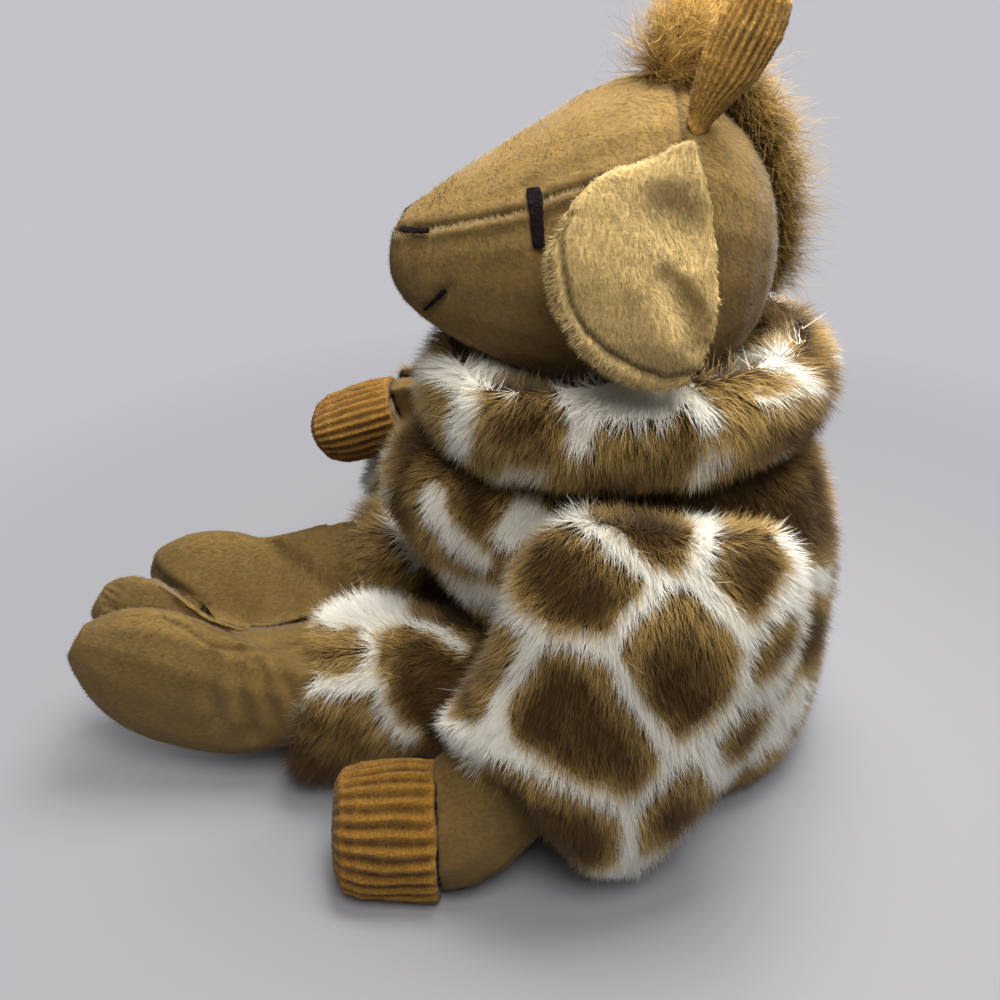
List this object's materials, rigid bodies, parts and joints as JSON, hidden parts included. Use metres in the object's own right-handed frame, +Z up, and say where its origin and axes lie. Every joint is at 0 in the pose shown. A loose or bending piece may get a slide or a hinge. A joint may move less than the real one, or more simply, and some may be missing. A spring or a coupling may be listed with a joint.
{
  "type": "plush giraffe",
  "caption": "Sitting plush giraffe in a patchwork-print fur suit with a thick rolled collar, with hanging ears, a mane, and corduroy horns and hooves.",
  "frame": {"origin": "middle of the flat seat, on the surface that the toy sits on", "axes": "+Z up; the giraffe faces -Y; +X is towards its left side"},
  "size_m": [0.1939, 0.2764, 0.2702],
  "materials": {
    "suit_fur": "long faux fur with a brown patch print on cream",
    "tan_pile": "short tan velboa pile",
    "pale_pile": "short beige velboa pile",
    "corduroy": "ochre ribbed corduroy",
    "mane_fur": "long golden-brown straggling hair",
    "thread": "dark brown satin stitch"
  },
  "bodies": {
    "torso": {"suit_body": "suit_fur", "stuffed_body": "tan_pile", "collar": "suit_fur"},
    "neck": {"neck": "tan_pile"},
    "head": {"head": "tan_pile", "head_top_panel": "tan_pile", "mane": "mane_fur", "horn_left": "corduroy", "eye_stitch_left": "thread", "nostril_stitch_left": "thread", "mouth_stitch_left": "thread", "horn_right": "corduroy", "eye_stitch_right": "thread", "nostril_stitch_right": "thread", "mouth_stitch_right": "thread"},
    "ear_left": {"ear_left_back": "tan_pile", "ear_left_lining": "pale_pile"},
    "ear_right": {"ear_right_back": "tan_pile", "ear_right_lining": "pale_pile"},
    "arm_left": {"arm_left": "tan_pile", "hoof_left": "corduroy", "sleeve_left": "suit_fur"},
    "arm_right": {"arm_right": "tan_pile", "hoof_right": "corduroy", "sleeve_right": "suit_fur"},
    "leg_left": {"leg_left": "tan_pile", "trouser_left": "suit_fur"},
    "leg_right": {"leg_right": "tan_pile", "trouser_right": "suit_fur"}
  },
  "joints": [
    {"name": "neck_turn", "type": "hinge", "parent": "torso", "child": "neck", "pos_m": [0, -0.014, 0.149], "axis": [0, 0, 1], "range_deg": [-25, 25]},
    {"name": "head_nod", "type": "hinge", "parent": "neck", "child": "head", "pos_m": [0, -0.014, 0.149], "axis": [-1, 0, 0], "range_deg": [0, 10]},
    {"name": "ear_left_flap", "type": "hinge", "parent": "head", "child": "ear_left", "pos_m": [0.031, -0.008, 0.23], "axis": [0, -1, 0], "range_deg": [0, 55]},
    {"name": "ear_right_flap", "type": "hinge", "parent": "head", "child": "ear_right", "pos_m": [-0.031, -0.008, 0.23], "axis": [0, 1, 0], "range_deg": [0, 55]},
    {"name": "shoulder_left", "type": "hinge", "parent": "torso", "child": "arm_left", "pos_m": [0.067, -0.006, 0.1], "axis": [-1, 0, 0], "range_deg": [0, 45]},
    {"name": "shoulder_right", "type": "hinge", "parent": "torso", "child": "arm_right", "pos_m": [-0.067, -0.006, 0.1], "axis": [-1, 0, 0], "range_deg": [-8, 20]},
    {"name": "hip_left", "type": "hinge", "parent": "torso", "child": "leg_left", "pos_m": [0.027, -0.05, 0.033], "axis": [-1, 0, 0], "range_deg": [0, 20]},
    {"name": "hip_right", "type": "hinge", "parent": "torso", "child": "leg_right", "pos_m": [-0.027, -0.05, 0.033], "axis": [-1, 0, 0], "range_deg": [0, 8]}
  ]
}
